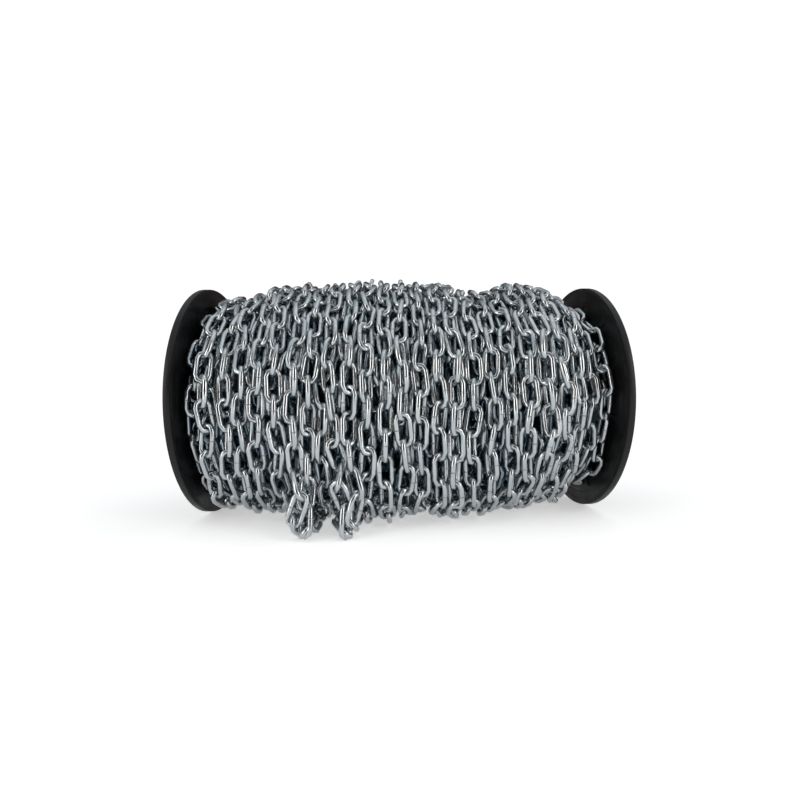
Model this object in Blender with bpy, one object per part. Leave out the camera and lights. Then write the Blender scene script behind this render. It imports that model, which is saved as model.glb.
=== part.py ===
"""Reel of welded steel link chain, lying on its flanges with its axis level.

The reel's axis runs along X. The floor is z = 0 and the front of the reel faces -Y.
Angles round the axis start at the front and run down under the reel to the back.
All lengths are metres.
"""

import math

import bmesh
import bpy
from mathutils import Vector, noise

# Chain: short welded links, 2.8 mm wire, 14 mm inner length, 10 mm outer width
wire = 0.0028
link_width = 0.010

# Reel: two moulded flanges on a tube
flange_radius = 0.072
reel_length = 0.245
rim_thickness = 0.0035
rim_width = 0.0037
rim_chamfer = 0.0005
step_width = 0.0080
step_height = 0.0003
web_outer_face = 0.0004
web_thickness = 0.0025
arbor_radius = 0.016
collar_width = 0.0045
spigot_length = 0.0095
spigot_wall = 0.003
bushing_wall = 0.0025
barrel_radius = 0.037
barrel_wall = 0.003

# Pockets between the ribs of a flange's outer face
rib_count = 12
rib_width = 0.0022
pocket_depth = 0.0009
pocket_inner_radius = 0.0235
pocket_outer_radius = 0.0655
pocket_corner = 0.0025
pocket_outer_steps = 4
pocket_inner_steps = 2
cutter_reach = 0.002

# Winding: turns lie side by side, and the chain is heaped up towards the middle of the reel
turn_count = 25
stations = 60
layer_bore_radius = 0.0427
crest_middle = 0.0750
crest_left = 0.0680
crest_right = 0.0605
left_slope = (-0.091, -0.070)
right_slope = (0.088, 0.107)
# Place, half width and rise of each uneven heap along the crest
heaps = [(-0.059, 0.006, 0.0010), (-0.016, 0.024, 0.0024), (0.025, 0.006, 0.0012), (0.048, 0.016, -0.0040)]
# A heap is flat out to the first share of its half width, and ends at the second
heap_shares = (0.5, 1.3)
link_spacing = 0.0135
link_reach = 0.0044
first_outer_turn = 4
wander = 0.0020
wander_steps = (3.1, 5.3)
wander_row = 0.3
# A turn loses its wander between these shares of a turn from its front
wander_fade = (0.4, 0.5)
outer_seed = 1.0
second_seed = 2.0
base_roll = math.radians(28)
roll_drift = math.radians(80)
roll_step = 0.11
roll_row = 21.5
face_on_drop = 0.0046
groove_drop = 0.0092
groove_slope = 0.0005
groove_half_width = 0.0002
face_on_half_width = 0.0042
edge_on_half_width = 0.0011
end_clearance = 0.0006
floor_clearance = 0.0003

# Slack: a turn bulges out between the front and the bottom as a superellipse of this power.
# A power of 2 is a tight round turn, and a high one hangs straight down and lies back on the floor.
sag_power = 5.5
left_powers = {0: 2.0, 1: 3.0, 2: 4.5, 3: 4.0, 4: 3.4, 5: 3.5}
middle_powers = {12: 4.2, 13: 4.2, 14: 4.8, 16: 5.0, 17: 4.5}
right_powers = {18: 3.2, 19: 2.8, 20: 2.5, 21: 2.0, 22: 2.0, 23: 2.0, 24: 2.0}
turn_powers = {**left_powers, **middle_powers, **right_powers}
bight_turns = {"slack_chain_1": 6, "slack_chain_2": 7, "slack_chain_3": 8, "slack_chain_4": 9}
bight_power = 20.0
bight_front = 0.0740
bight_start = math.radians(5.4)
bight_end = math.radians(83.0)
bight_stations = 19
bight_seat_radius = 0.0615
bight_groove_radius = 0.0594
link_pair_stations = 4

round_segments = 60
smooth_below = math.radians(30)
gap = 0.0003

# Finishes
plastic_colour = (0.012, 0.013, 0.014)
flange_roughness = 0.38
barrel_roughness = 0.45
outer_zinc_colour = (0.58, 0.61, 0.62)
outer_zinc_roughness = 0.30
inner_zinc_colour = (0.50, 0.53, 0.54)
inner_zinc_roughness = 0.35

half_length = reel_length / 2.0
inner_plane = half_length - rim_thickness
axis_height = flange_radius * math.cos(math.pi / round_segments)
winding_half = inner_plane - end_clearance
turn_pitch = 2.0 * winding_half / turn_count
link_half_thickness = wire / 2.0


def clear_scene():
    for item in list(bpy.data.objects):
        bpy.data.objects.remove(item, do_unlink=True)


def make_material(name, colour, roughness, metallic):
    material = bpy.data.materials.new(name)
    material.use_nodes = True
    shader = material.node_tree.nodes["Principled BSDF"]
    shader.inputs["Base Color"].default_value = (*colour, 1.0)
    shader.inputs["Roughness"].default_value = roughness
    shader.inputs["Metallic"].default_value = metallic
    return material


def make_object(name, mesh_data, material, smooth=False):
    bmesh.ops.recalc_face_normals(mesh_data, faces=mesh_data.faces)
    mesh = bpy.data.meshes.new(name)
    mesh_data.to_mesh(mesh)
    mesh_data.free()
    mesh.materials.append(material)
    if smooth:
        mesh.shade_smooth()
        mesh.set_sharp_from_angle(angle=smooth_below)
    item = bpy.data.objects.new(name, mesh)
    bpy.context.collection.objects.link(item)
    return item


def turned_ring(profile, segments=round_segments):
    """Turns a closed outline of (x, radius) points round the X axis into a ring.

    The first segment's flat side faces straight down, so a turned rim rests on a flat.
    """
    mesh_data = bmesh.new()
    loops = []
    for index in range(segments):
        angle = 2.0 * math.pi * (index + 0.5) / segments
        loop = []
        for x, radius in profile:
            loop.append(mesh_data.verts.new((x, radius * math.sin(angle), -radius * math.cos(angle))))
        loops.append(loop)
    count = len(profile)
    for index, loop in enumerate(loops):
        following = loops[(index + 1) % segments]
        for corner in range(count):
            after = (corner + 1) % count
            mesh_data.faces.new((loop[corner], loop[after], following[after], following[corner]))
    return mesh_data


def flange_profile():
    """Outline of a flange. x is the distance from its outer plane towards the chain."""
    lip_inner = flange_radius - rim_width
    step_inner = lip_inner - step_width + rim_width
    web_inner_face = web_outer_face + web_thickness
    spigot_end = web_inner_face + spigot_length
    spigot_outer = barrel_radius - barrel_wall - gap
    spigot_inner = spigot_outer - spigot_wall
    bushing_outer = arbor_radius + bushing_wall
    return [
        (0.0, flange_radius - rim_chamfer),
        (rim_chamfer, flange_radius),
        (rim_thickness - rim_chamfer, flange_radius),
        (rim_thickness, flange_radius - rim_chamfer),
        (rim_thickness, lip_inner),
        (web_inner_face + step_height, lip_inner),
        (web_inner_face + step_height, step_inner),
        (web_inner_face, step_inner),
        (web_inner_face, spigot_outer),
        (spigot_end, spigot_outer),
        (spigot_end, spigot_inner),
        (web_inner_face, spigot_inner),
        (web_inner_face, bushing_outer),
        (spigot_end, bushing_outer),
        (spigot_end, arbor_radius),
        (0.0, arbor_radius),
        (0.0, arbor_radius + collar_width),
        (web_outer_face, arbor_radius + collar_width),
        (web_outer_face, lip_inner),
        (0.0, lip_inner),
    ]


def pocket_outline(middle_angle):
    """Points of one pocket between two ribs: two arcs joined by cut corners."""
    points = []
    outer_arc = (pocket_outer_radius, pocket_outer_steps, 1)
    inner_arc = (pocket_inner_radius, pocket_inner_steps, -1)
    for radius, steps, direction in (outer_arc, inner_arc):
        half_angle = math.pi / rib_count - rib_width / 2.0 / radius
        corner_angle = pocket_corner / radius
        inward = radius - direction * pocket_corner
        points.append((inward, middle_angle - direction * half_angle))
        start = middle_angle - direction * (half_angle - corner_angle)
        for step in range(steps + 1):
            share = step / steps
            points.append((radius, start + direction * share * 2.0 * (half_angle - corner_angle)))
        points.append((inward, middle_angle + direction * half_angle))
    return points


def pocket_cutter(name):
    """All the pockets of a flange's outer face, as prisms that reach past that face."""
    mesh_data = bmesh.new()
    low, high = -cutter_reach, web_outer_face + pocket_depth
    for rib in range(rib_count):
        middle = 2.0 * math.pi * (rib + 0.5) / rib_count
        outline = pocket_outline(middle)
        rings = []
        for x in (low, high):
            ring = []
            for radius, angle in outline:
                ring.append(mesh_data.verts.new((x, radius * math.sin(angle), -radius * math.cos(angle))))
            rings.append(ring)
        mesh_data.faces.new(rings[0])
        mesh_data.faces.new(list(reversed(rings[1])))
        count = len(outline)
        for corner in range(count):
            after = (corner + 1) % count
            side = (rings[0][corner], rings[0][after], rings[1][after], rings[1][corner])
            mesh_data.faces.new(side)
    bmesh.ops.recalc_face_normals(mesh_data, faces=mesh_data.faces)
    mesh = bpy.data.meshes.new(name)
    mesh_data.to_mesh(mesh)
    mesh_data.free()
    cutter = bpy.data.objects.new(name, mesh)
    bpy.context.collection.objects.link(cutter)
    cutter.hide_render = True
    cutter.display_type = "WIRE"
    return cutter


def make_flange(name, side, material):
    flange = make_object(name, turned_ring(flange_profile()), material, smooth=True)
    cutter = pocket_cutter(name + "_pockets")
    for item in (flange, cutter):
        item.location = (side * half_length, 0.0, axis_height)
        item.rotation_euler = (0.0, 0.0, math.pi if side > 0 else 0.0)
    cut = flange.modifiers.new("Pockets", "BOOLEAN")
    cut.operation = "DIFFERENCE"
    cut.solver = "EXACT"
    cut.object = cutter
    return flange


def make_barrel(material):
    half = half_length - web_outer_face - web_thickness - gap
    inner = barrel_radius - barrel_wall
    profile = [(-half, inner), (half, inner), (half, barrel_radius), (-half, barrel_radius)]
    barrel = make_object("barrel", turned_ring(profile), material, smooth=True)
    barrel.location = (0.0, 0.0, axis_height)


def make_inner_layers(material):
    inner = barrel_radius + gap
    outer = layer_bore_radius - gap
    profile = [(-winding_half, inner), (winding_half, inner), (winding_half, outer), (-winding_half, outer)]
    core = make_object("chain_inner_layers", turned_ring(profile), material, smooth=True)
    core.location = (0.0, 0.0, axis_height)


def ramp(x, start, end):
    """A smooth step from 0 at start to 1 at end."""
    share = min(1.0, max(0.0, (x - start) / (end - start)))
    return share * share * (3.0 - 2.0 * share)


def crest_radius(x):
    """Height of the winding over the axis at x: full in the middle and low beside the flanges."""
    left = (crest_left - crest_middle) * (1.0 - ramp(x, *left_slope))
    right = (crest_right - crest_middle) * ramp(x, *right_slope)
    heaped = 0.0
    for place, half, rise in heaps:
        flat, foot = half * heap_shares[0], half * heap_shares[1]
        heaped += rise * (1.0 - ramp(abs(x - place), flat, foot))
    return crest_middle + left + right + heaped


def turn_place(turn):
    return -winding_half + (turn + 0.5) * turn_pitch


def around(station):
    """Angle of a station, and its share of a turn that starts and ends at the back."""
    angle = 2.0 * math.pi * station / stations
    return angle, (station / stations + 0.5) % 1.0


def turn_centre(turn, station):
    """Turns wander a little from side to side, and each closes on itself at the back."""
    share = around(station)[1]
    seed = outer_seed if turn >= first_outer_turn else second_seed
    strayed = noise.noise(Vector((turn * wander_steps[0] + share * wander_steps[1], seed, wander_row)))
    return turn_place(turn) + wander * strayed * (1.0 - ramp(abs(share - 0.5), *wander_fade))


def slack_radius(front, below, power, angle):
    """Distance from the axis to a slack turn that passes the front and the bottom at given distances."""
    across = math.cos(angle) / front
    down = math.sin(angle) / below
    return (across ** power + down ** power) ** (-1.0 / power)


def turn_radius(turn, crest, angle):
    """Distance from the axis to the outside of a turn, which never goes below the floor."""
    if not 0.0 < angle < math.pi:
        return crest
    floor_reach = axis_height - floor_clearance
    if angle < math.pi / 2.0:
        return slack_radius(crest, min(crest, floor_reach), turn_powers.get(turn, sag_power), angle)
    return min(crest, floor_reach / math.sin(angle))


def in_bight(turn, angle):
    """True where a slack bight takes the place of a turn, from the front to the bottom."""
    return turn in bight_turns.values() and 0.0 < angle < math.pi / 2.0


def turn_border(turn, station):
    """Place between a turn and the one before it, clear of a slack bight on either side."""
    border = (turn_centre(turn - 1, station) + turn_centre(turn, station)) / 2.0
    angle = around(station)[0]
    bight_side = face_on_half_width + gap
    if in_bight(turn - 1, angle):
        border = max(border, turn_place(turn - 1) + bight_side)
    if in_bight(turn, angle):
        border = min(border, turn_place(turn) - bight_side)
    return border


def chain_point(turn, station):
    """Middle of the chain at a station, as (forward, down) from the axis."""
    angle = around(station)[0]
    if in_bight(turn, angle):
        below = axis_height - floor_clearance - link_reach
        radius = slack_radius(bight_front, below, bight_power, angle)
    else:
        radius = turn_radius(turn, crest_radius(turn_place(turn)), angle) - link_reach
    return radius * math.cos(angle), radius * math.sin(angle)


def link_rolls():
    """Roll of the link at each station of each turn: 0 lies face-on, and a quarter turn stands edge-on.

    Links are counted along the chain. Each is a quarter turn from the last, and the whole chain twists
    slowly. The chain of the outer layer starts at the first outer turn.
    """
    rolls = {}
    length = 0.0
    for turn in range(turn_count):
        if turn == first_outer_turn:
            length = 0.0
        seed = outer_seed if turn >= first_outer_turn else second_seed
        for step in range(stations):
            station = (step + stations // 2) % stations
            number = int(length / link_spacing)
            twist = noise.noise(Vector((number * roll_step, seed, roll_row)))
            rolls[turn, station] = base_roll + roll_drift * twist + math.pi / 2.0 * (number % 2)
            here = chain_point(turn, station)
            following = chain_point(turn, (station + 1) % stations)
            length += math.dist(here, following)
    return rolls


def turn_section(turn, station, roll, left_limit, right_limit):
    """Four points (x, radius) of one turn at a station: up one side of the link and down the other."""
    centre = turn_centre(turn, station)
    angle = around(station)[0]
    flat, upright = abs(math.cos(roll)), abs(math.sin(roll))
    crest = crest_radius(turn_place(turn))
    if in_bight(turn, angle):
        half = face_on_half_width
        radius, groove = bight_seat_radius, bight_groove_radius
    else:
        half = edge_on_half_width + (face_on_half_width - edge_on_half_width) * flat
        radius = turn_radius(turn, crest - face_on_drop * (1.0 - upright), angle)
        groove = turn_radius(turn, crest - groove_drop, angle)
    low_left = max(centre - half - groove_slope, left_limit + groove_half_width)
    low_right = min(centre + half + groove_slope, right_limit - groove_half_width)
    left = max(centre - half, low_left + groove_slope)
    right = min(centre + half, low_right - groove_slope)
    return [(low_left, groove), (left, radius), (right, radius), (low_right, groove)]


def make_outer_layer(material):
    """Outer layer of turns as one ring, with a groove between turns and a step at each link."""
    rolls = link_rolls()
    mesh_data = bmesh.new()
    loops = []
    for station in range(stations):
        angle = around(station)[0]
        limits = [-winding_half - groove_half_width]
        limits += [turn_border(turn, station) for turn in range(1, turn_count)]
        limits.append(winding_half + groove_half_width)
        points = [(-winding_half, layer_bore_radius)]
        for turn in range(turn_count):
            points += turn_section(turn, station, rolls[turn, station], limits[turn], limits[turn + 1])
        points.append((winding_half, layer_bore_radius))
        loop = []
        for x, radius in points:
            loop.append(mesh_data.verts.new((x, -radius * math.cos(angle), -radius * math.sin(angle))))
        loops.append(loop)
    count = len(loops[0])
    for station, loop in enumerate(loops):
        following = loops[(station + 1) % stations]
        for corner in range(count):
            after = (corner + 1) % count
            mesh_data.faces.new((loop[corner], loop[after], following[after], following[corner]))
    bmesh.ops.triangulate(mesh_data, faces=mesh_data.faces)
    layer = make_object("chain_outer_layer", mesh_data, material)
    layer.location = (0.0, 0.0, axis_height)


def bight_path():
    """Middle line of a slack bight, as (y, height) points down its front and back along the floor."""
    below = axis_height - floor_clearance - link_width / 2.0
    points = []
    for station in range(bight_stations):
        angle = bight_start + (bight_end - bight_start) * station / (bight_stations - 1)
        radius = slack_radius(bight_front, below, bight_power, angle)
        points.append((-radius * math.cos(angle), axis_height - radius * math.sin(angle)))
    return points


def make_bight(name, turn, material):
    """A slack bight as a bar whose section turns from face-on to edge-on with each link."""
    centre = turn_place(turn)
    path = bight_path()
    mesh_data = bmesh.new()
    rings = []
    for index, (y, height) in enumerate(path):
        before = path[max(index - 1, 0)]
        after = path[min(index + 1, len(path) - 1)]
        run_y, run_z = after[0] - before[0], after[1] - before[1]
        length = math.hypot(run_y, run_z)
        across = (-run_z / length, run_y / length)
        face_on = index % link_pair_stations < link_pair_stations / 2
        wide = face_on_half_width if face_on else link_half_thickness
        deep = link_half_thickness if face_on else link_width / 2.0
        ring = []
        for side, depth in ((-1, -1), (1, -1), (1, 1), (-1, 1)):
            out_y, out_z = depth * deep * across[0], depth * deep * across[1]
            ring.append(mesh_data.verts.new((centre + side * wide, y + out_y, height + out_z)))
        rings.append(ring)
    for ring, following in zip(rings, rings[1:]):
        for corner in range(4):
            after = (corner + 1) % 4
            mesh_data.faces.new((ring[corner], ring[after], following[after], following[corner]))
    mesh_data.faces.new(rings[0])
    mesh_data.faces.new(list(reversed(rings[-1])))
    bmesh.ops.triangulate(mesh_data, faces=mesh_data.faces)
    make_object(name, mesh_data, material)


def build():
    clear_scene()
    for name, side in (("left_flange", -1), ("right_flange", 1)):
        make_flange(name, side, make_material(name + "_plastic", plastic_colour, flange_roughness, 0.0))
    make_barrel(make_material("barrel_plastic", plastic_colour, barrel_roughness, 0.0))
    make_inner_layers(make_material("inner_chain_zinc", inner_zinc_colour, inner_zinc_roughness, 1.0))
    make_outer_layer(make_material("outer_chain_zinc", outer_zinc_colour, outer_zinc_roughness, 1.0))
    for name, turn in bight_turns.items():
        make_bight(name, turn, make_material(name + "_zinc", outer_zinc_colour, outer_zinc_roughness, 1.0))


build()
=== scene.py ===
import math
import random

import bpy
import numpy as np
from mathutils import Matrix, Vector, noise
from mathutils.kdtree import KDTree


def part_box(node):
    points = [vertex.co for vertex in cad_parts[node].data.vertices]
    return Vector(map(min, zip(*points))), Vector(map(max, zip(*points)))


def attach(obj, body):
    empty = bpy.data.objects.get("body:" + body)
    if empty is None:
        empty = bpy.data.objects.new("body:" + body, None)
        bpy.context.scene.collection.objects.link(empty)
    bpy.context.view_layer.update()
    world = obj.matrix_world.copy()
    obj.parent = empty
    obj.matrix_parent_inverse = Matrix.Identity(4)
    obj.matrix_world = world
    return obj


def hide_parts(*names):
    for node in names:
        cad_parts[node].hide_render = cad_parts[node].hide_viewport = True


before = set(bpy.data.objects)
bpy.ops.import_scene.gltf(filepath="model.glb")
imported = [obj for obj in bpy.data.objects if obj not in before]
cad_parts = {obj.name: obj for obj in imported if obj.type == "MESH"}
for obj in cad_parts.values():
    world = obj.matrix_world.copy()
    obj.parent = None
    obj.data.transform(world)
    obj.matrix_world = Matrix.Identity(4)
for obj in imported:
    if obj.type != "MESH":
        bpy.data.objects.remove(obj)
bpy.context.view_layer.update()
print("frame loaded:", sorted(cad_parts))

leftLow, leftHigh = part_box("left_flange")
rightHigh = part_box("right_flange")[1]
coreLow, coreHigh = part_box("chain_inner_layers")
reel = {
    "axisHeight": (leftLow.z + leftHigh.z) / 2,
    "halfLength": (rightHigh.x - leftLow.x) / 2,
    "coreRadius": (coreHigh.z - coreLow.z) / 2,
    "rimThickness": 0.0035,
}
axisHeight = reel["axisHeight"]
mergeDistance = 0.00001  # points that lie closer than this become one


def deselectAll():
    if bpy.context.object and bpy.context.object.mode != "OBJECT":
        bpy.ops.object.mode_set(mode="OBJECT")
    bpy.ops.object.select_all(action="DESELECT")


def selectOnly(*items):
    deselectAll()
    for item in items:
        item.select_set(True)
    bpy.context.view_layer.objects.active = items[0]


def smoothRamp(value, start, end):
    share = min(1.0, max(0.0, (value - start) / (end - start)))
    return share * share * (3 - 2 * share)


def smoothHump(value, rise, full, sink, end):
    # climbs to 1 between the first two places and falls back to 0 between the last two
    return smoothRamp(value, rise, full) * (1 - smoothRamp(value, sink, end))


def startRing(sides, radius, centre):
    # a circle that faces along the reel, left in edit mode with all of it selected
    deselectAll()
    bpy.ops.mesh.primitive_circle_add(vertices=sides, radius=radius, location=centre,
                                      rotation=(0, math.pi / 2, 0))
    ring = bpy.context.object
    bpy.ops.object.transform_apply(location=True, rotation=True, scale=True)
    bpy.ops.object.mode_set(mode="EDIT")
    bpy.ops.mesh.select_all(action="SELECT")
    return ring


def extrudeAlong(run, centre=None, grow=1):
    # what is selected is drawn out along the reel, and its new end is scaled about a point
    bpy.ops.mesh.extrude_region_move(TRANSFORM_OT_translate={"value": (run, 0, 0)})
    if grow != 1:
        bpy.ops.transform.resize(value=(1, grow, grow), center_override=centre)


def closeRing():
    bpy.ops.mesh.select_all(action="SELECT")
    bpy.ops.mesh.remove_doubles(threshold=mergeDistance)
    bpy.ops.mesh.normals_make_consistent(inside=False)
    bpy.ops.object.mode_set(mode="OBJECT")


# One link: a ring of round wire with two straight sides and a weld in the middle of one of them

linkShape = {
    "wire": 0.0028,
    "pitch": 0.014,
    "width": 0.010,
    "weldSwell": 1.1,
    # the corners of a few-sided section stand out, so that it looks as thick as the round wire
    "cornerReach": 1.05,
    "sides": 6,
    # steps round each bend of a link that lies open, and of one that is mostly hidden
    "fineBend": 4,
    "plainBend": 3,
}
halfLink = linkShape["width"] / 2
endRadius = (linkShape["width"] - linkShape["wire"]) / 2
straightLength = linkShape["pitch"] + linkShape["wire"] - 2 * endRadius


def makeLink(name, bendSteps, welded):
    end = straightLength / 2
    radius = linkShape["wire"] / 2 * linkShape["cornerReach"]
    link = startRing(linkShape["sides"], radius, (-end, endRadius, 0))
    link.name = name
    stops = [(0, linkShape["weldSwell"]), (end, 1)] if welded else [(end, 1)]
    at, size = -end, 1
    for x, ringSize in stops:
        extrudeAlong(x - at, (x, endRadius, 0), ringSize / size)
        at, size = x, ringSize
    bpy.ops.mesh.spin(steps=bendSteps, angle=math.pi, center=(end, 0, 0), axis=(0, 0, 1))
    extrudeAlong(-straightLength)
    bpy.ops.mesh.spin(steps=bendSteps, angle=math.pi, center=(-end, 0, 0), axis=(0, 0, 1))
    closeRing()
    bpy.ops.object.shade_smooth()
    weldMark = link.data.attributes.new("weldMark", "FLOAT", "POINT")
    for vertex in link.data.vertices:
        atWeld = welded and abs(vertex.co.x) < linkShape["wire"] and vertex.co.y > 0
        weldMark.data[vertex.index].value = 1 if atWeld else 0
    return link


linkModels = {
    "fine": makeLink("fineLink", linkShape["fineBend"], True),
    "plain": makeLink("plainLink", linkShape["plainBend"], False),
}
print("links modelled:", {name: len(link.data.polygons) for name, link in linkModels.items()})

# How the chain is wound: where each turn runs, layer by layer, from the outside in

winding = {
    "turns": 25,
    "halfWidth": 0.1184,
    # the radius of the crest in the middle and at both ends, and where it slopes down to them
    "crest": 0.0750,
    "crestLeft": 0.0680,
    "crestRight": 0.0605,
    "leftSlope": (-0.091, -0.070),
    "rightSlope": (0.088, 0.107),
    # place, half width and rise of each heap along the crest, and of the hollow near its right end
    "heaps": [(-0.059, 0.006, 0.0010), (-0.016, 0.024, 0.0024),
              (0.025, 0.006, 0.0012), (0.048, 0.016, -0.0040)],
    # shares of a heap's half width at which it starts to sink and at which it ends
    "heapShares": (0.5, 1.3),
    # how far the links stand out from the middle of their turn
    "reach": 0.0044,
    "layerRise": 0.0060,
    # where the outer layer starts to cover the ones below it, and where it stops
    "covered": (-0.095, -0.084, 0.098, 0.104),
    # the turns of a nested layer that lie half a turn over, in the gaps of the layers beside it
    "nestedTurns": (1.5, 3, 21, 23),
    # a link with fewer layers than this over it lies open, and left of openLeft one layer more shows
    "openBelow": 0.5,
    "openLeft": -0.107,
    # the depth under the face of the winding at which a link is in full painted shade
    "paintedShadeDepth": 0.016,
    # how far apart the links are laid along a turn, before they settle
    "spacing": 0.0135,
    # the shares of a turn between which it steps over to the next
    "crossover": (0.86, 1.0),
    # how far a turn wanders, and the noise for it: its run per turn and along a turn, and its slice
    "wander": 0.0020,
    "wanderNoise": (3.1, 5.3, 0.3),
    # how far a joint lies off its turn, along the reel, to the front and up
    "jitter": (0.0018, 0.0010, 0.0010),
    "stepsPerTurn": 240,
    # how the links are rolled about their turn, and the noise for it: its run per link and its slice
    "baseRoll": math.radians(40),
    "rollDrift": math.radians(60),
    "driftNoise": (0.11, 21.5),
    "rollJitter": math.radians(13),
    "seed": 5,
}
slack = {
    # a power of 2 is a round turn, and a high one hangs straight down and lies back on the floor
    "power": 5.5,
    # the turns that have one of their own, at the left, in the middle and at the right
    "powers": {
        0: 2, 1: 3, 2: 3.4, 3: 3.8, 4: 2.7, 5: 2.8,
        10: 6, 11: 6.5, 12: 4.2, 13: 4.2, 14: 4.8, 16: 5, 17: 4.5,
        18: 3.2, 19: 2.8, 20: 2.5, 21: 2, 22: 2, 23: 2, 24: 2,
    },
    # where along the reel a bight's tip lies, how far forward it runs there, the share of its turn
    # at which it comes, and how the link above it is rolled: a right angle turns its edge to the front
    "bights": {
        6: {"place": -0.0532, "nose": 0.0080, "tip": 0.637, "roll": math.radians(100)},
        7: {"place": -0.0504, "nose": 0.0130, "tip": 0.625, "roll": math.radians(62)},
        8: {"place": -0.0315, "nose": 0.0155, "tip": 0.630, "roll": math.radians(85)},
        9: {"place": -0.0255, "nose": 0.0030, "tip": 0.636, "roll": math.radians(45)},
    },
    "bightPower": 14,
    # a bight is gathered low in front, between these shares of its turn
    "gathered": (0.50, 0.61, 0.70, 0.82),
    # how much lower it hangs than its neighbours, and the angles between which that ends
    "bightBelow": 0.0034,
    "bightEnds": (1.6, 2.4),
    # the heights and the distances in front between which it swings forward
    "noseHeights": (0.012, 0.030),
    "noseReach": (0.035, 0.060),
    # the turn below that comes up between the two bunches, and the shares of it that do so
    "filler": {"turn": 7, "place": -0.0415, "shares": (0.45, 0.52, 0.66, 0.76)},
    "frontLimit": -0.0806,
}
# each layer's first and last turn, whether it is nested, how many layers lie over it,
# and how much of the outer layer's slack it shares
layers = [
    {"name": "outer", "turns": (3, 22), "nested": False, "under": 0, "seed": 1.0, "sagShare": 1.0},
    {"name": "second", "turns": (1, 24), "nested": True, "under": 1, "seed": 2.0, "sagShare": 0.6},
    {"name": "third", "turns": (0, 24), "nested": False, "under": 2, "seed": 3.0, "sagShare": 0.3},
    {"name": "fourth", "turns": (0, 22), "nested": True, "under": 3, "seed": 4.0, "sagShare": 0.0},
]
turnPitch = 2 * winding["halfWidth"] / winding["turns"]


def turnPlace(turn, nested):
    middle = -winding["halfWidth"] + (turn + 0.5) * turnPitch
    share = smoothHump(turn, *winding["nestedTurns"]) if nested else 0
    return middle + turnPitch / 2 * share


def crestRadius(x):
    level, foot = winding["heapShares"]
    left = (winding["crestLeft"] - winding["crest"]) * (1 - smoothRamp(x, *winding["leftSlope"]))
    right = (winding["crestRight"] - winding["crest"]) * smoothRamp(x, *winding["rightSlope"])
    heaped = sum(rise * (1 - smoothRamp(abs(x - place), half * level, half * foot))
                 for place, half, rise in winding["heaps"])
    return winding["crest"] + left + right + heaped


def layersAbove(layer, x):
    return layer["under"] - 1 + smoothHump(x, *winding["covered"]) if layer["under"] else 0


def isBight(layer, turn):
    return layer["under"] == 0 and turn in slack["bights"]


def fillerShare(layer, turn, share):
    filler = slack["filler"]
    isFiller = layer["under"] == 1 and turn == filler["turn"]
    return smoothHump(share, *filler["shares"]) if isFiller else 0


def slackPower(layer, turn, x):
    if isBight(layer, turn):
        return slack["bightPower"]
    share = 1 if layersAbove(layer, x) < winding["openBelow"] else layer["sagShare"]
    return 2 + (slack["powers"].get(turn, slack["power"]) - 2) * share


def pathRadius(layer, turn, x, angle):
    # angles start at the front and run down under the reel to the back
    above = layersAbove(layer, x) * winding["layerRise"]
    above *= 1 - fillerShare(layer, turn, angle / math.pi / 2 + 0.5)
    radius = max(crestRadius(x) - winding["reach"] - above, reel["coreRadius"] + halfLink)
    if not 0 < angle < math.pi:
        return radius
    below = min(radius, axisHeight - halfLink - above)
    if isBight(layer, turn):
        below += slack["bightBelow"] * (1 - smoothRamp(angle, *slack["bightEnds"]))
    power = slackPower(layer, turn, x) if angle < math.pi / 2 else 2
    across, down = abs(math.cos(angle)) / radius, math.sin(angle) / below
    return (across ** power + down ** power) ** (-1 / power)


def layerPath(layer):
    # a turn starts and ends at the back, so its middle lies at the front
    points = []
    perTurn, alongTurn, noiseSlice = winding["wanderNoise"]
    first, last = layer["turns"]
    for turn in range(first, last + 1):
        start = turnPlace(turn, layer["nested"])
        end = turnPlace(turn + 1, layer["nested"]) if turn < last else start
        for step in range(winding["stepsPerTurn"]):
            share = step / winding["stepsPerTurn"]
            angle = -math.pi + 2 * math.pi * share
            x = start + (end - start) * smoothRamp(share, *winding["crossover"])
            spot = Vector((turn * perTurn + share * alongTurn, layer["seed"], noiseSlice))
            x += winding["wander"] * noise.noise(spot)
            x += (slack["filler"]["place"] - x) * fillerShare(layer, turn, share)
            radius = pathRadius(layer, turn, x, angle)
            y, z = -radius * math.cos(angle), axisHeight - radius * math.sin(angle)
            if isBight(layer, turn):
                bight = slack["bights"][turn]
                x += (bight["place"] - x) * smoothHump(share, *slack["gathered"])
                # low in front a bight swings forward, and from its tip it runs back along the floor
                low = 1 - smoothRamp(z, *slack["noseHeights"])
                y -= bight["nose"] * low * smoothRamp(-y, *slack["noseReach"])
            points.append(Vector((x, y, z)))
    return points


def evenPlaces(points, spacing, stops):
    # places along a path, in steps of it, that are an even length apart, with one on each stop
    runs = np.cumsum([0.0] + [(after - before).length for before, after in zip(points, points[1:])])
    marks = [0, *stops, len(points) - 1]
    lengths = []
    for low, high in zip(marks, marks[1:]):
        count = round((runs[high] - runs[low]) / spacing)
        lengths.extend(np.linspace(runs[low], runs[high], count, endpoint=False))
    return np.interp(lengths, runs, np.arange(len(points)))


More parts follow.
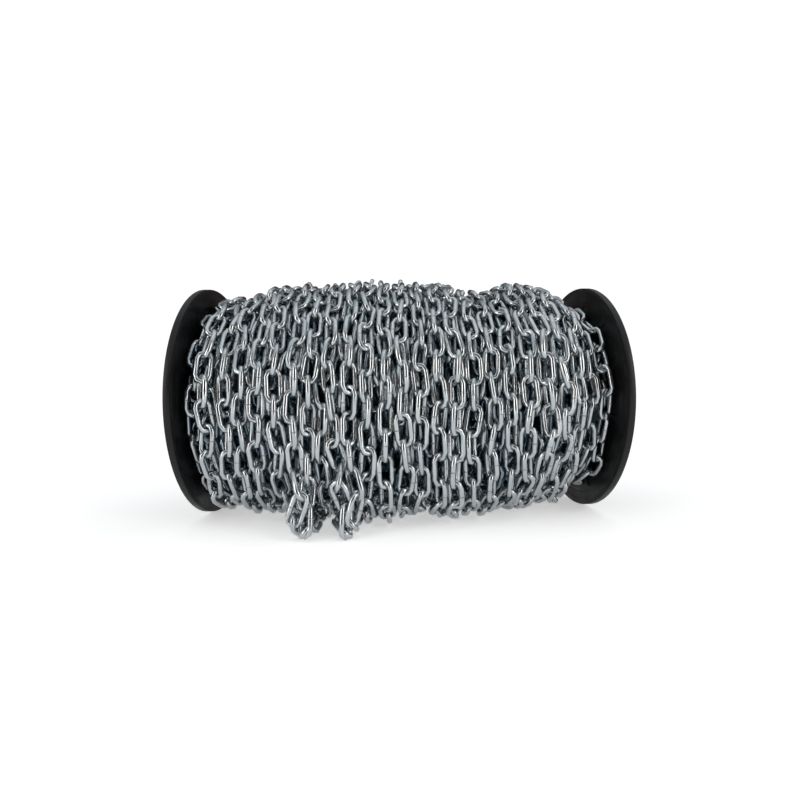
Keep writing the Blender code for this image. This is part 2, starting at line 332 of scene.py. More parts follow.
def layChain(chooser):
    # joints are the points where one link hangs in the next
    joints, links = [], []
    driftRate, noiseSlice = winding["driftNoise"]
    for layer in layers:
        path = layerPath(layer)
        first = layer["turns"][0]
        bights = slack["bights"] if layer["under"] == 0 else {}
        # a joint lies at the tip of each bight
        stops = [round((turn - first + bight["tip"]) * winding["stepsPerTurn"])
                 for turn, bight in bights.items()]
        even = evenPlaces(path, winding["spacing"], stops)
        tips = dict(zip(bights, np.searchsorted(even, stops)))
        flip = 0.0
        for index, place in enumerate(even):
            shake = Vector([chooser.uniform(-1, 1) * reach for reach in winding["jitter"]])
            before = int(place)
            joints.append(path[before].lerp(path[before + 1], place - before) + shake)
            if index + 1 == len(even):
                continue
            drift = noise.noise(Vector((index * driftRate, layer["seed"], noiseSlice)))
            roll = winding["baseRoll"] + winding["rollDrift"] * drift
            roll += chooser.gauss(0, 1) * winding["rollJitter"] + flip
            flip = math.pi / 2 - flip
            turn, share = divmod(first + place / winding["stepsPerTurn"], 1)
            if turn in bights:
                wanted = bights[turn]["roll"] + math.pi / 2 * (tips[turn] - 1 - index)
                lean = (wanted - roll + math.pi / 2) % math.pi - math.pi / 2
                roll += lean * smoothHump(share, *slack["gathered"])
            links.append({"joint": len(joints) - 1, "roll": roll, "layer": layer, "turn": int(turn)})
    return joints, links


chooser = random.Random(winding["seed"])
jointPoints, chainLinks = layChain(chooser)
print("chain laid:", len(chainLinks), "links,", round(len(chainLinks) * linkShape["pitch"], 1), "m")

# The links settle against each other: each is pushed off what it runs into, and held to its neighbours

settling = {
    "rounds": 48,
    # in the last rounds nothing draws a link back to where it was laid
    "freeRounds": 8,
    "hold": 0.05,
    # points along each link's wire, and how often and how far beyond touching they are looked up
    "samples": 16,
    "searchEvery": 4,
    "margin": 0.0012,
    # how many thicknesses the middles of two wires keep apart
    "clearance": 1.02,
    # how much of an overlap is pushed out at once, and how strongly a link answers
    "push": 0.5,
    "answer": 1.6,
    # the least and the most that two joints lie apart
    "closest": 0.0122,
    "furthest": 0.0139,
    "lengthFixes": 4,
    "lengthShare": 0.7,
    # how far two neighbours may be off a right angle to each other
    "twist": math.radians(32),
    "twistShare": 0.25,
}


def loopSamples(count):
    # points along the middle of a link's wire, as (along, across)
    arcLength = math.pi * endRadius
    found = []
    for index in range(count):
        run = (index + 0.5) / count * 2 * (straightLength + arcLength)
        side = 1 if run < straightLength + arcLength else -1
        run %= straightLength + arcLength
        if run < straightLength:
            found.append((side * (run - straightLength / 2), side * endRadius))
        else:
            turned = (run - straightLength) / endRadius
            along = straightLength / 2 + endRadius * math.sin(turned)
            found.append((side * along, side * endRadius * math.cos(turned)))
    return np.array(found)


def unit(vectors):
    return vectors / np.linalg.norm(vectors, axis=1, keepdims=True)


def linkFrames(joints, first, rolls):
    # each link's middle, the way it runs and the way it is wide
    start, end = joints[first], joints[first + 1]
    centres = (start + end) / 2
    along = unit(end - start)
    out = centres - np.array((0, 0, axisHeight))
    out[:, 0] = 0
    out = unit(out - along * np.sum(out * along, axis=1, keepdims=True))
    side = np.cross(out, along)
    across = side * np.cos(rolls)[:, None] + out * np.sin(rolls)[:, None]
    return centres, along, across


def findNear(points, owner, chainOf, reach):
    tree = KDTree(len(points))
    for index, point in enumerate(points):
        tree.insert(point, index)
    tree.balance()
    pairs = []
    for index, point in enumerate(points):
        for _, other, _ in tree.find_range(point, reach):
            if other <= index:
                continue
            apart = owner[other] - owner[index]
            if apart > 1 or (apart == 1 and chainOf[owner[other]] != chainOf[owner[index]]):
                pairs.append((index, other))
    return np.array(pairs)


def contactPush(points, pairs):
    a, b = pairs[:, 0], pairs[:, 1]
    between = points[a] - points[b]
    distance = np.linalg.norm(between, axis=1)
    deep = np.clip(linkShape["wire"] * settling["clearance"] - distance, 0, None)
    hit = deep > 0
    step = unit(between[hit]) * deep[hit][:, None] * settling["push"]
    push = np.zeros_like(points)
    np.add.at(push, a[hit], step)
    np.add.at(push, b[hit], -step)
    return push, deep[hit]


def wallPush(points):
    # the flanges, the floor and the chain's core hold the links off
    half = linkShape["wire"] / 2 * linkShape["weldSwell"] * linkShape["cornerReach"]
    push = np.zeros_like(points)
    over = np.abs(points[:, 0]) - (reel["halfLength"] - reel["rimThickness"] - half)
    push[:, 0] -= np.sign(points[:, 0]) * np.clip(over, 0, None)
    push[:, 1] += np.clip(slack["frontLimit"] - points[:, 1], 0, None)
    push[:, 2] += np.clip(half - points[:, 2], 0, None)
    fromAxis = points - np.array((0, 0, axisHeight))
    fromAxis[:, 0] = 0
    short = reel["coreRadius"] + half - np.linalg.norm(fromAxis, axis=1)
    return push + unit(fromAxis) * np.clip(short, 0, None)[:, None]


def keepLengths(joints, first):
    for _ in range(settling["lengthFixes"]):
        run = joints[first + 1] - joints[first]
        length = np.linalg.norm(run, axis=1)
        wanted = np.clip(length, settling["closest"], settling["furthest"])
        fix = run * ((length - wanted) / length / 2)[:, None]
        shift = np.zeros_like(joints)
        np.add.at(shift, first, fix)
        np.add.at(shift, first + 1, -fix)
        joints += shift * settling["lengthShare"]


def keepTwists(rolls, follows):
    # neighbours stay near right angles to each other
    lean = np.mod(rolls[follows + 1] - rolls[follows], math.pi) - math.pi / 2
    excess = lean - np.clip(lean, -settling["twist"], settling["twist"])
    np.add.at(rolls, follows, excess * settling["twistShare"])
    np.add.at(rolls, follows + 1, -excess * settling["twistShare"])


def settle(joints, rolls, first, chainOf):
    home = joints.copy()
    shape = loopSamples(settling["samples"])
    count = len(first)
    owner = np.repeat(np.arange(count), len(shape))
    lengthwise = np.tile(shape[:, 0], count)
    sideways = np.tile(shape[:, 1], count)
    share = np.clip(0.5 + lengthwise / winding["spacing"], 0, 1)[:, None]
    follows = np.flatnonzero(first[1:] == first[:-1] + 1)
    for go in range(settling["rounds"]):
        centres, along, across = linkFrames(joints, first, rolls)
        arm = across[owner] * sideways[:, None]
        points = centres[owner] + along[owner] * lengthwise[:, None] + arm
        if go % settling["searchEvery"] == 0:
            pairs = findNear(points, owner, chainOf, linkShape["wire"] + settling["margin"])
        push, deep = contactPush(points, pairs)
        push += wallPush(points)
        touches = np.bincount(owner[np.any(push != 0, axis=1)], minlength=count)
        scale = settling["answer"] / np.sqrt(np.maximum(touches, 1))
        moveStart, moveEnd, torque = np.zeros((count, 3)), np.zeros((count, 3)), np.zeros(count)
        np.add.at(moveStart, owner, push * (1 - share))
        np.add.at(moveEnd, owner, push * share)
        np.add.at(torque, owner, np.sum(np.cross(arm, push) * along[owner], axis=1))
        np.add.at(joints, first, moveStart * scale[:, None])
        np.add.at(joints, first + 1, moveEnd * scale[:, None])
        rolls += torque * scale / settling["answer"] / endRadius ** 2
        keepTwists(rolls, follows)
        if go < settling["rounds"] - settling["freeRounds"]:
            joints += (home - joints) * settling["hold"]
        keepLengths(joints, first)
    deepest = round(1000 * deep.max(), 2)
    print("chain settled:", len(deep), "touching points, deepest overlap", deepest, "mm")


linkJoints = np.array([link["joint"] for link in chainLinks])
linkRolls = np.array([link["roll"] for link in chainLinks])
settledJoints = np.array([list(point) for point in jointPoints])
settle(settledJoints, linkRolls, linkJoints, [link["layer"]["name"] for link in chainLinks])
linkCentres, linkAlongs, linkAcrosses = linkFrames(settledJoints, linkJoints, linkRolls)


def angleOf(point):
    return math.atan2(axisHeight - point[2], -point[1])


def pieceName(link, centre):
    # the slack loops at the lower front are pieces of their own
    if isBight(link["layer"], link["turn"]) and 0 < angleOf(centre) < math.pi / 2:
        return "slackLoop" + str(link["turn"] - min(slack["bights"]) + 1)
    return link["layer"]["name"] + "LayerLinks"


def modelName(link, centre):
    limit = winding["openBelow"] + (1 if centre[0] < winding["openLeft"] else 0)
    return "fine" if layersAbove(link["layer"], centre[0]) < limit else "plain"


def placeLinks():
    groups = {}
    outer = layers[0]
    for index, link in enumerate(chainLinks):
        centre = linkCentres[index]
        along, across = Vector(linkAlongs[index]), Vector(linkAcrosses[index])
        if chooser.random() < 0.5:
            across = -across  # half of the welds lie on the other side
        matrix = Matrix((along, across, along.cross(across))).transposed().to_4x4()
        matrix.translation = Vector(centre)
        source = linkModels[modelName(link, centre)]
        copy = source.copy()
        copy.data = source.data.copy()
        bpy.context.collection.objects.link(copy)
        copy.data.transform(matrix)
        count = len(copy.data.vertices)
        linkTone = copy.data.attributes.new("linkTone", "FLOAT", "POINT")
        linkTone.data.foreach_set("value", [chooser.random()] * count)
        # how deep each point lies under the face of the winding, which sets how much painted shade its
        # colour gets
        places = np.zeros(count * 3, np.float32)
        copy.data.vertices.foreach_get("co", places)
        places = places.reshape(-1, 3)
        outerTurn = int((centre[0] + winding["halfWidth"]) / turnPitch)
        if outerTurn in slack["bights"]:
            outerTurn = None  # the bights stand out from the face
        face = pathRadius(outer, outerTurn, centre[0], angleOf(centre)) + halfLink
        below = face - np.hypot(places[:, 1], places[:, 2] - axisHeight)
        paintedShade = copy.data.attributes.new("paintedShade", "FLOAT", "POINT")
        paintedShade.data.foreach_set("value", np.clip(below / winding["paintedShadeDepth"], 0, 1))
        groups.setdefault(pieceName(link, centre), []).append(copy)
    return groups


def joinPieces(name, copies):
    selectOnly(*copies)
    bpy.ops.object.join()
    piece = bpy.context.object
    piece.name = name
    piece.data.name = name
    return piece


chainPieces = {}
for name, copies in placeLinks().items():
    chainPieces[name] = joinPieces(name, copies)
    print("joined:", name, len(copies), "links,", len(chainPieces[name].data.polygons), "faces")
for source in linkModels.values():
    bpy.data.objects.remove(source)

# The reel's flanges: turned profile, recessed panels on the inside, ribs between pockets on the outside

flangeShape = {
    "segments": 144,
    "rimWidth": 0.0037,
    # the low step between the rim and the web, on the inside
    "stepWidth": 0.0043,
    "stepHeight": 0.0003,
    # how far the web's outer face lies behind the rim and the collar
    "outerRecess": 0.0004,
    "webThickness": 0.0025,
    "arborRadius": 0.016,
    "collarWidth": 0.0045,
    "bushingWall": 0.0025,
    "spigotRadius": 0.0337,
    "spigotWall": 0.003,
    "spigotLength": 0.0095,
    # edges sharper than the first angle are rounded, and ones flatter than the second look smooth
    "edgeRound": 0.00045,
    "roundSteps": 2,
    "sharpAngle": math.radians(40),
    "smoothAngle": math.radians(35),
    "panels": {
        "count": 12, "inner": 0.0445, "outer": 0.0613, "rib": 0.0034,
        "corner": 0.0035, "depth": 0.0005, "turned": math.radians(12),
    },
    "pockets": {
        "count": 12, "inner": 0.0235, "outer": 0.0655, "rib": 0.0022,
        "corner": 0.0025, "depth": 0.0009, "turned": 0,
    },
    "sectorSteps": 8,
    "cornerSteps": 4,
    "cutterReach": 0.002,
}


def turnProfile(points, segments, side):
    # extrudes a circle through (distance from the reel's end, radius) points and closes the section
    x, radius = points[0]
    centre = (side * (reel["halfLength"] - x), 0, axisHeight)
    turned = startRing(segments, radius, centre)
    bpy.ops.transform.rotate(value=math.pi / segments, orient_axis="X", center_override=centre)
    for nextX, nextRadius in points[1:] + points[:1]:
        centre = (side * (reel["halfLength"] - nextX), 0, axisHeight)
        extrudeAlong(side * (x - nextX), centre, nextRadius / radius)
        x, radius = nextX, nextRadius
    closeRing()
    return turned


def selectVertices(mesh, chosen):
    for polygon in mesh.polygons:
        polygon.select = False
    for edge in mesh.edges:
        edge.select = False
    for vertex in mesh.vertices:
        vertex.select = chosen(vertex)


def makeSectorCutters(spec, side, low, high):
    # one rounded sector, spun from an edge, given depth, and copied round the axis
    deselectAll()
    middle = (spec["inner"] + spec["outer"]) / 2
    span = 2 * math.pi / spec["count"] - spec["rib"] / middle
    place = side * (reel["halfLength"] - low)
    bpy.ops.mesh.primitive_plane_add(
        size=spec["outer"] - spec["inner"], location=(place, 0, axisHeight + middle),
        rotation=(0, math.pi / 2, 0))
    cutter = bpy.context.object
    bpy.ops.object.transform_apply(location=True, rotation=True, scale=True)
    selectVertices(cutter.data, lambda vertex: vertex.co.y < 0)
    bpy.ops.object.mode_set(mode="EDIT")
    bpy.ops.mesh.delete(type="VERT")
    bpy.ops.mesh.select_all(action="SELECT")
    bpy.ops.transform.translate(value=(0, (spec["inner"] - spec["outer"]) / 2, 0))
    bpy.ops.mesh.spin(steps=flangeShape["sectorSteps"], angle=span, center=(place, 0, axisHeight),
                      axis=(1, 0, 0))
    bpy.ops.object.mode_set(mode="OBJECT")
    corners = {vertex.index: 0 for vertex in cutter.data.vertices}
    for polygon in cutter.data.polygons:
        for index in polygon.vertices:
            corners[index] += 1
    selectVertices(cutter.data, lambda vertex: corners[vertex.index] == 1)
    bpy.ops.object.mode_set(mode="EDIT")
    bpy.ops.mesh.bevel(offset=spec["corner"], segments=flangeShape["cornerSteps"], affect="VERTICES")
    bpy.ops.mesh.select_all(action="SELECT")
    extrudeAlong(side * (low - high))
    bpy.ops.mesh.select_all(action="SELECT")
    bpy.ops.mesh.normals_make_consistent(inside=False)
    bpy.ops.object.mode_set(mode="OBJECT")
    copies = [cutter]
    for index in range(1, spec["count"]):
        copy = cutter.copy()
        copy.data = cutter.data.copy()
        bpy.context.collection.objects.link(copy)
        copies.append(copy)
    for index, copy in enumerate(copies):
        angle = spec["turned"] + 2 * math.pi * index / spec["count"]
        copy.data.transform(Matrix.Translation((0, 0, axisHeight)) @ Matrix.Rotation(angle, 4, "X")
                            @ Matrix.Translation((0, 0, -axisHeight)))
    return joinPieces("cutter", copies)


def cutAway(piece, cutter):
    selectOnly(piece)
    cut = piece.modifiers.new("cut", "BOOLEAN")
    cut.operation = "DIFFERENCE"
    cut.solver = "EXACT"
    cut.object = cutter
    bpy.ops.object.modifier_apply(modifier=cut.name)
    bpy.data.objects.remove(cutter)


def roundEdges(piece, width):
    selectOnly(piece)
    rounding = piece.modifiers.new("rounding", "BEVEL")
    rounding.width = width
    rounding.segments = flangeShape["roundSteps"]
    rounding.limit_method = "ANGLE"
    rounding.angle_limit = flangeShape["sharpAngle"]
    bpy.ops.object.modifier_apply(modifier=rounding.name)


def makeFlange(name, side):
    shape = flangeShape
    rim = axisHeight / math.cos(math.pi / shape["segments"])  # its lowest flat lies on the floor
    lip = rim - shape["rimWidth"]
    step = lip - shape["stepWidth"]
    web = shape["outerRecess"] + shape["webThickness"]
    spigotEnd = web + shape["spigotLength"]
    bushing = shape["arborRadius"] + shape["bushingWall"]
    collar = shape["arborRadius"] + shape["collarWidth"]
    spigotBore = shape["spigotRadius"] - shape["spigotWall"]
    flange = turnProfile([
        (0, rim), (reel["rimThickness"], rim), (reel["rimThickness"], lip), (web + shape["stepHeight"], lip),
        (web + shape["stepHeight"], step), (web, step), (web, shape["spigotRadius"]),
        (spigotEnd, shape["spigotRadius"]), (spigotEnd, spigotBore), (web, spigotBore), (web, bushing),
        (spigotEnd, bushing), (spigotEnd, shape["arborRadius"]), (0, shape["arborRadius"]), (0, collar),
        (shape["outerRecess"], collar), (shape["outerRecess"], lip), (0, lip),
    ], shape["segments"], side)
    flange.name = name
    flange.data.name = name
    roundEdges(flange, shape["edgeRound"])
    panels, pockets, reach = shape["panels"], shape["pockets"], shape["cutterReach"]
    cutAway(flange, makeSectorCutters(panels, side, web + reach, web - panels["depth"]))
    cutAway(flange, makeSectorCutters(pockets, side, -reach, shape["outerRecess"] + pockets["depth"]))
    selectOnly(flange)
    bpy.ops.object.shade_smooth_by_angle(angle=shape["smoothAngle"])
    return flange


flanges = [makeFlange("leftFlangeMoulding", -1), makeFlange("rightFlangeMoulding", 1)]
print("flanges made:", [len(flange.data.polygons) for flange in flanges])

# Shader node groups


def makeGroup(name, inputs, outputs):
    group = bpy.data.node_groups.new(name, "ShaderNodeTree")
    for label, kind, value in inputs:
        socket = group.interface.new_socket(label, in_out="INPUT", socket_type=kind)
        if value is not None:
            socket.default_value = value
    for label in outputs:
        group.interface.new_socket(label, in_out="OUTPUT", socket_type="NodeSocketFloat")
    return group, group.nodes.new("NodeGroupInput"), group.nodes.new("NodeGroupOutput")


rippleLook = {
    "waveDetail": 2,
    "grainDetail": 1,
    "mottleDetail": 3,
    # the mottle's scale as a share of the waves' own, so that it is coarser
    "mottleShare": 0.3,
}


def makeRippleGroup():
    # uneven skin: soft waves with a fine grain on top
    group, given, out = makeGroup(
        "skinRipple",
        [("Position", "NodeSocketVector", None), ("Wave Scale", "NodeSocketFloat", 600.0),
         ("Grain Scale", "NodeSocketFloat", 2500.0), ("Grain Share", "NodeSocketFloat", 0.3)],
        ["Height", "Mottle"])
    wave, grain, mottle = [group.nodes.new("ShaderNodeTexNoise") for texture in range(3)]
    wave.inputs["Detail"].default_value = rippleLook["waveDetail"]
    grain.inputs["Detail"].default_value = rippleLook["grainDetail"]
    mottle.inputs["Detail"].default_value = rippleLook["mottleDetail"]
    broad = group.nodes.new("ShaderNodeMath")
    broad.operation = "MULTIPLY"
    broad.inputs[1].default_value = rippleLook["mottleShare"]
    mixed = group.nodes.new("ShaderNodeMix")
    link = group.links.new
    for texture in (wave, grain, mottle):
        link(given.outputs["Position"], texture.inputs["Vector"])
    link(given.outputs["Wave Scale"], wave.inputs["Scale"])
    link(given.outputs["Grain Scale"], grain.inputs["Scale"])
    link(given.outputs["Wave Scale"], broad.inputs[0])
    link(broad.outputs[0], mottle.inputs["Scale"])
    link(given.outputs["Grain Share"], mixed.inputs["Factor"])
    link(wave.outputs["Fac"], mixed.inputs["A"])
    link(grain.outputs["Fac"], mixed.inputs["B"])
    link(mixed.outputs["Result"], out.inputs["Height"])
    link(mottle.outputs["Fac"], out.inputs["Mottle"])
    return group


scuffLook = {
    # how the noise is turned for each of the two directions, and how long it is drawn
    "rotations": [(0.5, 0.4, 0.85), (-0.9, 0.4, -1.53)],
    "stretch": (1.0, 1.0, 0.06),
    "detail": 2,
    # only what lies above these values of the noise is a scratch
    "threshold": (0.66, 0.74),
}


def makeScuffGroup():
    # long thin scratches in two directions, only here and there
    group, given, out = makeGroup(
        "handlingScuffs",
        [("Position", "NodeSocketVector", None), ("Scale", "NodeSocketFloat", 120.0),
         ("Amount", "NodeSocketFloat", 0.5)],
        ["Mask"])
    link = group.links.new
    masks = []
    for rotation in scuffLook["rotations"]:
        mapping = group.nodes.new("ShaderNodeMapping")
        mapping.inputs["Rotation"].default_value = rotation
        mapping.inputs["Scale"].default_value = scuffLook["stretch"]
        texture = group.nodes.new("ShaderNodeTexNoise")
        texture.inputs["Detail"].default_value = scuffLook["detail"]
        thin = group.nodes.new("ShaderNodeMapRange")
        for label, limit in zip(("From Min", "From Max"), scuffLook["threshold"]):
            thin.inputs[label].default_value = limit
        link(given.outputs["Position"], mapping.inputs["Vector"])
        link(mapping.outputs["Vector"], texture.inputs["Vector"])
        link(given.outputs["Scale"], texture.inputs["Scale"])
        link(texture.outputs["Fac"], thin.inputs["Value"])
        masks.append(thin.outputs["Result"])
    both, scaled = group.nodes.new("ShaderNodeMath"), group.nodes.new("ShaderNodeMath")
    both.operation = "MAXIMUM"
    scaled.operation = "MULTIPLY"
    link(masks[0], both.inputs[0])
    link(masks[1], both.inputs[1])
    link(both.outputs[0], scaled.inputs[0])
    link(given.outputs["Amount"], scaled.inputs[1])
    link(scaled.outputs[0], out.inputs["Mask"])
    return group


skinRipple = makeRippleGroup()
handlingScuffs = makeScuffGroup()


def newMaterial(name):
    material = bpy.data.materials.new(name)
    material.use_nodes = True
    nodes, links = material.node_tree.nodes, material.node_tree.links
    place = nodes.new("ShaderNodeTexCoord").outputs["Object"]
    return material, nodes, links.new, nodes["Principled BSDF"], place


def addGroup(nodes, link, group, place, values):
    node = nodes.new("ShaderNodeGroup")
    node.node_tree = group
    link(place, node.inputs["Position"])
    for label, value in values.items():
        node.inputs[label].default_value = value
    return node


def attributeValue(nodes, name):
    node = nodes.new("ShaderNodeAttribute")
    node.attribute_name = name
    return node.outputs["Fac"]


def feed(link, socket, given):
    if isinstance(given, (int, float, tuple)):
        socket.default_value = given
    else:
        link(given, socket)


def mixColours(nodes, link, factor, first, second, blend="MIX"):
    mix = nodes.new("ShaderNodeMix")
    mix.data_type = "RGBA"
    mix.blend_type = blend
    for label, given in (("Factor", factor), ("A", first), ("B", second)):
        feed(link, mix.inputs[label], given)
    return mix.outputs["Result"]


def mapValue(nodes, link, value, low, high, toLow, toHigh):
    node = nodes.new("ShaderNodeMapRange")
    for label, number in (("From Min", low), ("From Max", high), ("To Min", toLow), ("To Max", toHigh)):
        node.inputs[label].default_value = number
    link(value, node.inputs["Value"])
    return node.outputs["Result"]


def combine(nodes, link, operation, first, second):
    node = nodes.new("ShaderNodeMath")
    node.operation = operation
    for socket, given in zip(node.inputs, (first, second)):
        feed(link, socket, given)
    return node.outputs[0]


def addBump(nodes, link, shader, height, distance):
    bump = nodes.new("ShaderNodeBump")
    bump.inputs["Distance"].default_value = distance
    link(height, bump.inputs["Height"])
    link(bump.outputs["Normal"], shader.inputs["Normal"])


zincLook = {
    "bright": (0.605, 0.630, 0.643, 1),
    "grey": (0.455, 0.500, 0.525, 1),
    "weld": (0.16, 0.15, 0.15, 1),
    # the tint of the painted shade that darkens the links deep in the winding
    "paintedShade": (0.42, 0.55, 0.64, 1),
    "ripple": {"Wave Scale": 420, "Grain Scale": 1900, "Grain Share": 0.3},
    "scuffs": {"Scale": 700, "Amount": 0.8},
    # how much grey a link's own tone and the mottle bring in, and the range of the mottle that does
    "toneGrey": 0.4,
    "mottleGrey": 0.6,
    "greyMottle": (0.35, 0.65),
    # how sharply the weld's mark starts, and how much of it the waves of the skin leave
    "weldEdge": (0.91, 0.98),
    "weldWaves": (0.4, 0.6),
    "weldCover": (0.3, 0.9),
    "weldDull": 0.25,
    # the depth from which a link takes on the painted shade colour
    "paintedShadeFrom": 0.4,
    # the roughness of smooth and of dull places, and the range of the mottle between them
    "smooth": 0.13,
    "dull": 0.27,
    "dullMottle": (0.3, 0.7),
    "rippleDepth": 0.000018,
    "scratchShare": 0.25,
}


def makeZinc(name, unshadedShare):
    # the second value is how much of the unshaded colour is left where a link lies near the face; deeper in
    # the winding the painted shade takes over
    look = zincLook
    material, nodes, link, shader, place = newMaterial(name)
    ripple = addGroup(nodes, link, skinRipple, place, look["ripple"])
    scuffs = addGroup(nodes, link, handlingScuffs, place, look["scuffs"])
    mottle, height = ripple.outputs["Mottle"], ripple.outputs["Height"]
    tone = mapValue(nodes, link, attributeValue(nodes, "linkTone"), 0, 1, 0, look["toneGrey"])
    mottled = mapValue(nodes, link, mottle, *look["greyMottle"], 0, look["mottleGrey"])
    blend = combine(nodes, link, "ADD", mottled, tone)
    colour = mixColours(nodes, link, blend, look["bright"], look["grey"])
    weld = mapValue(nodes, link, attributeValue(nodes, "weldMark"), *look["weldEdge"], 0, 1)
    cover = mapValue(nodes, link, height, *look["weldWaves"], *look["weldCover"])
    worn = combine(nodes, link, "MULTIPLY", weld, cover)
    colour = mixColours(nodes, link, worn, colour, look["weld"])
    # painted shade: the colour is darkened and tinted more the deeper a point lies in the winding
    paintedShade = attributeValue(nodes, "paintedShade")
    depth = mapValue(nodes, link, paintedShade, look["paintedShadeFrom"], 1, 1 - unshadedShare, 1)
    paintedShadeColour = mixColours(nodes, link, 1.0, colour, look["paintedShade"], "MULTIPLY")
    link(mixColours(nodes, link, depth, colour, paintedShadeColour), shader.inputs["Base Color"])
    dull = mapValue(nodes, link, mottle, *look["dullMottle"], look["smooth"], look["dull"])
    weldDull = mapValue(nodes, link, worn, 0, 1, 0, look["weldDull"])
    link(combine(nodes, link, "ADD", dull, weldDull), shader.inputs["Roughness"])
    shader.inputs["Metallic"].default_value = 1
    scratched = combine(nodes, link, "MULTIPLY", scuffs.outputs["Mask"], look["scratchShare"])
    skin = combine(nodes, link, "SUBTRACT", height, scratched)
    addBump(nodes, link, shader, skin, look["rippleDepth"])
    return material


plasticLook = {
    "black": (0.0060, 0.0062, 0.0066, 1),
    "worn": (0.019, 0.019, 0.019, 1),
    "grain": {"Wave Scale": 260, "Grain Scale": 3200, "Grain Share": 0.6},
    "scuffs": {"Scale": 90, "Amount": 0.9},
    "smooth": 0.34,
    "dull": 0.50,
    "dullMottle": (0.3, 0.7),
    "gloss": 0.3,
    "grainDepth": 0.00002,
}


def makePlastic(name):
    look = plasticLook
    material, nodes, link, shader, place = newMaterial(name)
    grain = addGroup(nodes, link, skinRipple, place, look["grain"])
    scuffs = addGroup(nodes, link, handlingScuffs, place, look["scuffs"])
    colour = mixColours(nodes, link, scuffs.outputs["Mask"], look["black"], look["worn"])
    link(colour, shader.inputs["Base Color"])
    mottle = grain.outputs["Mottle"]
    dull = mapValue(nodes, link, mottle, *look["dullMottle"], look["smooth"], look["dull"])
    link(dull, shader.inputs["Roughness"])
    shader.inputs["Specular IOR Level"].default_value = look["gloss"]
    addBump(nodes, link, shader, grain.outputs["Height"], look["grainDepth"])
    return material


# the open chain's zinc, with painted shade deep in the winding
brightZinc = makeZinc("brightZinc", 1.0)
paintedShadeZinc = makeZinc("paintedShadeZinc", 0.1)  # a copy of the zinc darkened nearly all over with painted shade
blackPlastic = makePlastic("blackPlastic")


def dress(piece, material):
    piece.data.materials.clear()
    piece.data.materials.append(material)


for piece in chainPieces.values():
    dress(piece, brightZinc)
    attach(piece, "root")
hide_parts("chain_outer_layer")
for loop in range(1, len(slack["bights"]) + 1):
    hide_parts("slack_chain_" + str(loop))
for flange, node in zip(flanges, ("left_flange", "right_flange")):
    dress(flange, blackPlastic)
    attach(flange, "root")
    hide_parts(node)
dress(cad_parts["barrel"], blackPlastic)
# the inner core gets the zinc in painted shade, so that the gaps between the links stay dark
dress(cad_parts["chain_inner_layers"], paintedShadeZinc)
print("pieces dressed")

# Floor, light and camera

floorLook = {
    "size": 30,
    "pale": (0.93, 0.93, 0.93, 1),
    "dull": 0.9,
    "gloss": 0.1,
    # how brightly the floor glows to the camera, and how much of that reaches the reel
    "glow": 0.48,
    "spill": 0.26,
    # the distances between which the floor runs into the plain background
    "plain": (0.30, 0.75),
    "plainGlow": 1.05,
}


def lengthOf(nodes, link, vector):
    node = nodes.new("ShaderNodeVectorMath")
    node.operation = "LENGTH"
    link(vector, node.inputs[0])
    return node.outputs["Value"]


def makeFloor():
    deselectAll()
    bpy.ops.mesh.primitive_plane_add(size=floorLook["size"], location=(0, 0, 0))
    floor = bpy.context.object
    floor.name = "floor"
    material, nodes, link, shader, place = newMaterial("paleFloor")
    shader.inputs["Base Color"].default_value = floorLook["pale"]
    shader.inputs["Roughness"].default_value = floorLook["dull"]
    shader.inputs["Specular IOR Level"].default_value = floorLook["gloss"]
    shader.inputs["Emission Color"].default_value = (1, 1, 1, 1)
    seen = nodes.new("ShaderNodeLightPath").outputs["Is Camera Ray"]
    # the glow lifts the floor to the plain background, so that its edge doesn't show
    glow = mapValue(nodes, link, seen, 0, 1, floorLook["spill"], floorLook["glow"])
    link(glow, shader.inputs["Emission Strength"])
    away = mapValue(nodes, link, lengthOf(nodes, link, place), *floorLook["plain"], 0, 1)
    plain = nodes.new("ShaderNodeEmission")
    plain.inputs["Strength"].default_value = floorLook["plainGlow"]
    choice = nodes.new("ShaderNodeMixShader")
    link(combine(nodes, link, "MULTIPLY", away, seen), choice.inputs["Fac"])
    link(shader.outputs["BSDF"], choice.inputs[1])
    link(plain.outputs["Emission"], choice.inputs[2])
    link(choice.outputs["Shader"], nodes["Material Output"].inputs["Surface"])
    floor.data.materials.append(material)


makeFloor()

lights = [
    {"name": "topSoftbox", "place": (0.1, -0.2, 1.1), "size": (1.4, 1.0), "power": 1.6,
     "colour": (1, 1, 1)},
    {"name": "leftSoftbox", "place": (-0.86, -0.78, 0.36), "size": (0.42, 0.9), "power": 3.4,
     "colour": (1.0, 0.94, 0.89)},
    {"name": "rightSoftbox", "place": (0.86, -0.78, 0.36), "size": (0.42, 0.9), "power": 3.4,
     "colour": (1.0, 0.94, 0.89)},
]
for spec in lights:
    deselectAll()
    bpy.ops.object.light_add(type="AREA", location=spec["place"])
    light = bpy.context.object
    light.name = spec["name"]
    light.data.shape = "RECTANGLE"
    light.data.size, light.data.size_y = spec["size"]
    light.data.energy = spec["power"]
    light.data.color = spec["colour"]
    toReel = Vector((0, 0, axisHeight)) - Vector(spec["place"])
    light.rotation_euler = toReel.to_track_quat("-Z", "Y").to_euler()

studio = {
    "above": (0.52, 0.555, 0.575, 1),
    "around": (0.55, 0.58, 0.60, 1),
    # the heights between which the one turns into the other
    "aboveFrom": (0.2, 0.7),
    "room": (0.060, 0.030, 0.018, 1),
    "roomWidth": 0.68,
    "roomHeight": 0.80,
    # shares of the room's size between which it fades into the pale studio
    "roomEdge": (0.75, 1.1),
    "background": 1.05,
}


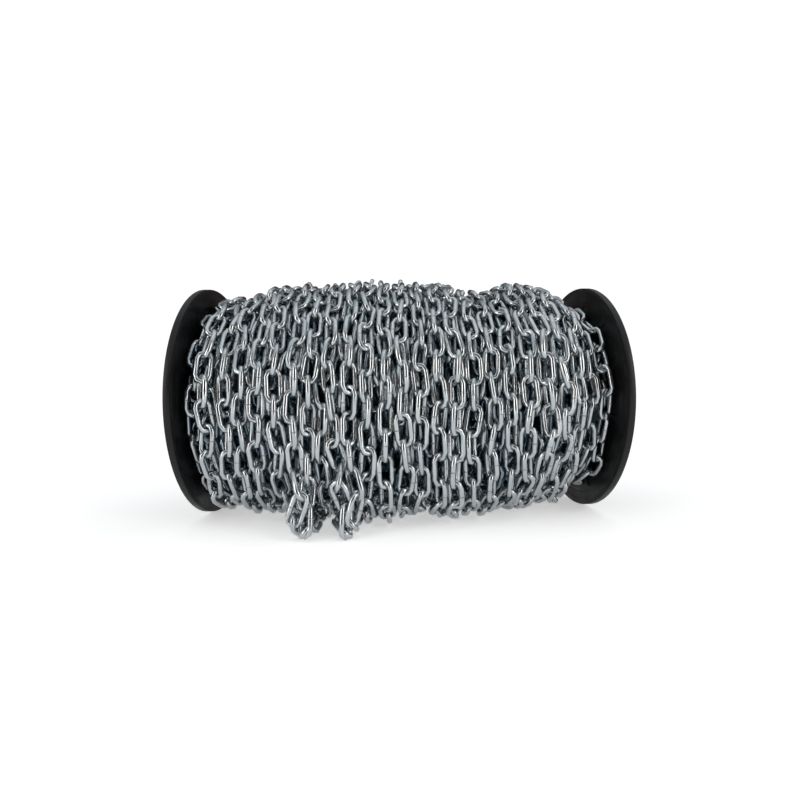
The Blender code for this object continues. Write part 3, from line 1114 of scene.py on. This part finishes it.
def makeWorld():
    # the studio is pale, with the dark room in front of the reel and behind it
    world = bpy.data.worlds.new("studio")
    bpy.context.scene.world = world
    world.use_nodes = True
    nodes, link = world.node_tree.nodes, world.node_tree.links.new
    background = nodes["Background"]
    way = nodes.new("ShaderNodeTexCoord")
    split = nodes.new("ShaderNodeSeparateXYZ")
    link(way.outputs["Generated"], split.inputs["Vector"])
    high = mapValue(nodes, link, split.outputs["Z"], *studio["aboveFrom"], 0, 1)
    pale = mixColours(nodes, link, high, studio["around"], studio["above"])
    squash = nodes.new("ShaderNodeMapping")
    squash.inputs["Scale"].default_value = (1 / studio["roomWidth"], 0, 1 / studio["roomHeight"])
    link(way.outputs["Generated"], squash.inputs["Vector"])
    fromMiddle = lengthOf(nodes, link, squash.outputs["Vector"])
    inRoom = mapValue(nodes, link, fromMiddle, *studio["roomEdge"], 1, 0)
    link(mixColours(nodes, link, inRoom, pale, studio["room"]), background.inputs["Color"])
    plain = nodes.new("ShaderNodeBackground")
    plain.inputs["Color"].default_value = (1, 1, 1, 1)
    plain.inputs["Strength"].default_value = studio["background"]
    seen = nodes.new("ShaderNodeLightPath")
    choice = nodes.new("ShaderNodeMixShader")
    link(seen.outputs["Is Camera Ray"], choice.inputs["Fac"])
    link(background.outputs["Background"], choice.inputs[1])
    link(plain.outputs["Background"], choice.inputs[2])
    link(choice.outputs["Shader"], nodes["World Output"].inputs["Surface"])


makeWorld()

cameraView = {
    "place": (-0.00945, -0.30304, axisHeight - 0.00606),
    "yaw": math.radians(-1.887),
    "pitch": math.radians(0.972),
    "roll": math.radians(0.659),
    "lens": 20.16,
    "sensor": 36,
    "nearest": 0.01,
}
bpy.ops.object.camera_add()
camera = bpy.context.object
turning = (Matrix.Rotation(cameraView["roll"], 4, "Y") @ Matrix.Rotation(cameraView["pitch"], 4, "X")
           @ Matrix.Rotation(cameraView["yaw"], 4, "Z"))
upright = Matrix.Rotation(math.pi / 2, 4, "X")
camera.matrix_world = Matrix.Translation(cameraView["place"]) @ turning @ upright
camera.data.lens = cameraView["lens"]
camera.data.sensor_width = cameraView["sensor"]
camera.data.clip_start = cameraView["nearest"]
bpy.context.scene.camera = camera
bpy.context.scene.view_settings.view_transform = "Standard"
